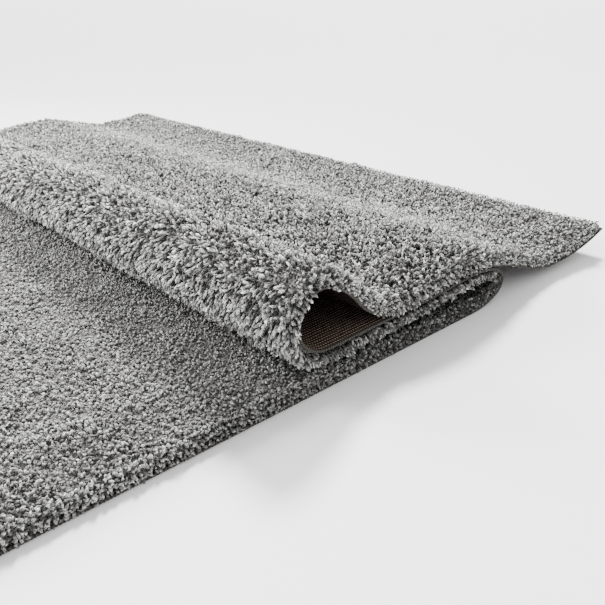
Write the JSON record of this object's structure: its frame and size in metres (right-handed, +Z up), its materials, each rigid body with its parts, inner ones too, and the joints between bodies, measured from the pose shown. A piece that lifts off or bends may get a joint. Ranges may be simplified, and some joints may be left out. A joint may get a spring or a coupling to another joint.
{
  "type": "shag rug",
  "caption": "Thick grey shag rug folded once back on itself and forward again, with a hollow roll at one side of the fold and a free end that rises in a wave.",
  "frame": {"origin": "on the floor, under the middle of the folded rug's outline", "axes": "+X along the rug, from the end that lies flat to the free end that rises; +Y across its width, away from the long edge that shows the fold; +Z up"},
  "size_m": [1.3768, 1.6169, 0.1665],
  "materials": {
    "pile": "matt melange yarn",
    "backing": "matt weave",
    "edge_yarn": "matt overlocked yarn"
  },
  "bodies": {
    "root": {"pile": "pile", "backing": "backing", "edge_near": "edge_yarn", "edge_far": "edge_yarn", "edge_floor_end": "edge_yarn", "edge_free_end": "edge_yarn"}
  },
  "joints": []
}
